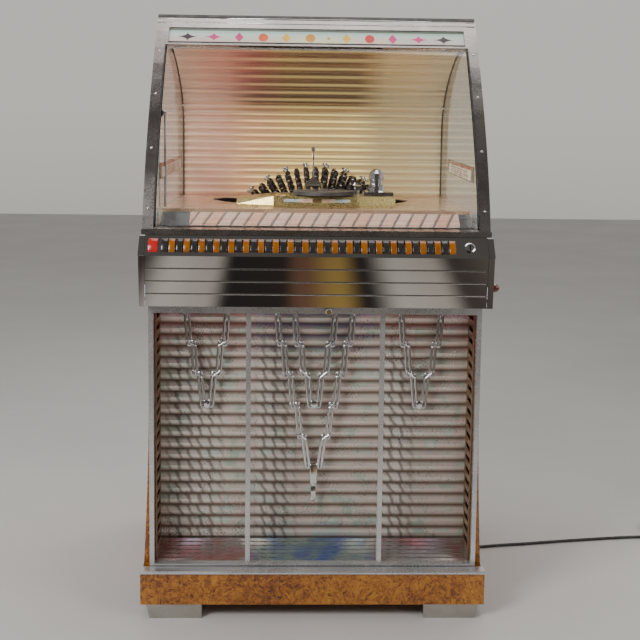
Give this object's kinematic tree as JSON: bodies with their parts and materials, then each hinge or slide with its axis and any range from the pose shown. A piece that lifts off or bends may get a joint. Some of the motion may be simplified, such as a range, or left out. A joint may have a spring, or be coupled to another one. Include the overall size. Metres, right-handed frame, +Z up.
{
  "type": "jukebox",
  "caption": "Floor-standing coin-operated record player: glazed curved hood that lifts, sloped key panel, ribbed screen behind a framed grille door with hanging chains, on a low plinth.",
  "frame": {"origin": "on the floor, under the middle of the cabinet's outline", "axes": "+X to the right as seen by someone who faces the keys, +Y to the rear, +Z up; the keys face -Y"},
  "size_m": [1.5258, 0.8209, 1.4626],
  "materials": {
    "amber_plastic": "gloss",
    "black_plastic": "gloss",
    "brown_knob": "gloss",
    "brushed_steel": "brushed",
    "burl_laminate": "figured laminate, gloss",
    "champagne_screen": "anodised champagne, fine mesh",
    "chrome": "mirror",
    "clear_glass": "clear",
    "copper_deck": "tan metallic",
    "gold_cover": "gold metallic",
    "gold_reflector": "anodised gold",
    "grey_casting": "as cast",
    "lamp_glass": "frosted",
    "lit_strip": "translucent, lit from behind",
    "painted_dark": "satin dark",
    "record_vinyl": "grooved",
    "red_plastic": "gloss",
    "rubber": "matt",
    "satin_aluminium": "satin",
    "title_card": "printed card under clear film"
  },
  "bodies": {
    "cabinet": {"amplifier_chassis": "grey_casting", "apron_panel": "chrome", "back_frame": "painted_dark", "bass_speaker": "painted_dark", "cash_box": "grey_casting", "coin_bezel": "chrome", "coin_chute": "grey_casting", "cord_coil": "rubber", "deck_plate": "copper_deck", "foot_front_left": "brushed_steel", "foot_front_right": "brushed_steel", "foot_rear_left": "brushed_steel", "foot_rear_right": "brushed_steel", "gear_head": "chrome", "hood_back_shell": "painted_dark", "key_panel": "chrome", "left_end_cap": "chrome", "left_side_panel": "burl_laminate", "lip_moulding": "chrome", "magazine_motor": "grey_casting", "mechanism_chassis": "grey_casting", "mechanism_cover": "gold_cover", "plinth": "burl_laminate", "plug": "rubber", "power_cord": "rubber", "reflector": "gold_reflector", "right_end_cap": "chrome", "right_side_panel": "burl_laminate", "screen_lamp_tube": "lamp_glass", "strain_relief": "rubber", "title_rack": "title_card"},
    "grille_door": {"door_frame": "satin_aluminium", "grille_screen": "champagne_screen", "recess_floor": "chrome", "left_recess_return": "champagne_screen", "right_recess_return": "champagne_screen", "left_chain": "chrome", "right_chain": "chrome", "centre_chains": "chrome"},
    "hood_lid": {"lid_frame": "satin_aluminium", "lid_top_shell": "painted_dark", "front_glass": "clear_glass", "left_side_glass": "clear_glass", "right_side_glass": "clear_glass", "name_strip": "lit_strip", "hood_lamp_tube": "lamp_glass"},
    "door_latch": {"door_latch": "chrome"},
    "rear_service_door": {"rear_service_door": "painted_dark"},
    "side_knob": {"side_knob": "brown_knob"},
    "red_key": {"red_key": "red_plastic"},
    "black_keys_left": {"black_keys_left": "black_plastic"},
    "black_keys_right": {"black_keys_right": "black_plastic"},
    "amber_keys_left": {"amber_keys_left": "amber_plastic"},
    "amber_keys_right": {"amber_keys_right": "amber_plastic"},
    "magazine_wheel": {"magazine_wheel": "record_vinyl"},
    "drive_roller": {"drive_roller": "rubber"},
    "turntable": {"turntable": "painted_dark"},
    "tonearm": {"tonearm": "chrome"},
    "gripper_arm": {"gripper_arm": "chrome"},
    "stay_rod": {"stay_rod": "chrome"}
  },
  "joints": [
    {"name": "grille_door_hinge", "type": "hinge", "parent": "cabinet", "child": "grille_door", "pos_m": [-0.389, -0.2765, 0.1203], "axis": [0, 0, -1], "range_deg": [0, 95]},
    {"name": "door_latch_turn", "type": "hinge", "parent": "grille_door", "child": "door_latch", "pos_m": [0.03, -0.2865, 0.7475], "axis": [0, 1, 0], "range_deg": [0, 90]},
    {"name": "service_door_hinge", "type": "hinge", "parent": "cabinet", "child": "rear_service_door", "pos_m": [-0.345, 0.341, 0.15], "axis": [0, 0, 1], "range_deg": [0, 110]},
    {"name": "hood_lid_hinge", "type": "hinge", "parent": "cabinet", "child": "hood_lid", "pos_m": [0, 0.343, 1.233], "axis": [-1, 0, 0], "range_deg": [0, 45]},
    {"name": "stay_rod_swing", "type": "hinge", "parent": "hood_lid", "child": "stay_rod", "pos_m": [-0.3695, -0.1715, 1.21], "axis": [1, 0, 0], "range_deg": [-5, 60]},
    {"name": "side_knob_turn", "type": "hinge", "parent": "cabinet", "child": "side_knob", "pos_m": [0.4215, -0.3, 0.8085], "axis": [1, 0, 0], "range_deg": [-140, 140]},
    {"name": "magazine_spin", "type": "hinge", "parent": "cabinet", "child": "magazine_wheel", "pos_m": [0.004, 0.1075, 0.816], "axis": [0, 1, 0], "continuous": true},
    {"name": "drive_roller_spin", "type": "hinge", "parent": "cabinet", "child": "drive_roller", "pos_m": [0.08915, 0.1075, 0.66852], "axis": [0, 1, 0], "continuous": true},
    {"name": "turntable_spin", "type": "hinge", "parent": "cabinet", "child": "turntable", "pos_m": [0.02, -0.09, 1.0125], "axis": [0, 0, 1], "continuous": true},
    {"name": "tonearm_swing", "type": "hinge", "parent": "cabinet", "child": "tonearm", "pos_m": [0.108, -0.012, 1.034], "axis": [0, 0, -1], "range_deg": [0, 30]},
    {"name": "gripper_arm_tilt", "type": "hinge", "parent": "cabinet", "child": "gripper_arm", "pos_m": [0, -0.004, 1.03], "axis": [1, 0, 0], "range_deg": [0, 70]},
    {"name": "red_key_press", "type": "slide", "parent": "cabinet", "child": "red_key", "axis": [0, 0.8147, -0.5799], "range_m": [0, 0.004], "stiffness_N_per_m": 400, "springref_m": -0.006},
    {"name": "black_keys_left_press", "type": "slide", "parent": "cabinet", "child": "black_keys_left", "axis": [0, 0.8147, -0.5799], "range_m": [0, 0.004], "stiffness_N_per_m": 400, "springref_m": -0.006},
    {"name": "black_keys_right_press", "type": "slide", "parent": "cabinet", "child": "black_keys_right", "axis": [0, 0.8147, -0.5799], "range_m": [0, 0.004], "stiffness_N_per_m": 400, "springref_m": -0.006},
    {"name": "amber_keys_left_press", "type": "slide", "parent": "cabinet", "child": "amber_keys_left", "axis": [0, 0.8147, -0.5799], "range_m": [0, 0.004], "stiffness_N_per_m": 400, "springref_m": -0.006},
    {"name": "amber_keys_right_press", "type": "slide", "parent": "cabinet", "child": "amber_keys_right", "axis": [0, 0.8147, -0.5799], "range_m": [0, 0.004], "stiffness_N_per_m": 400, "springref_m": -0.006}
  ],
  "couplings": [
    {"joint": "drive_roller_spin", "follows": "magazine_spin", "ratio": -7.5}
  ]
}
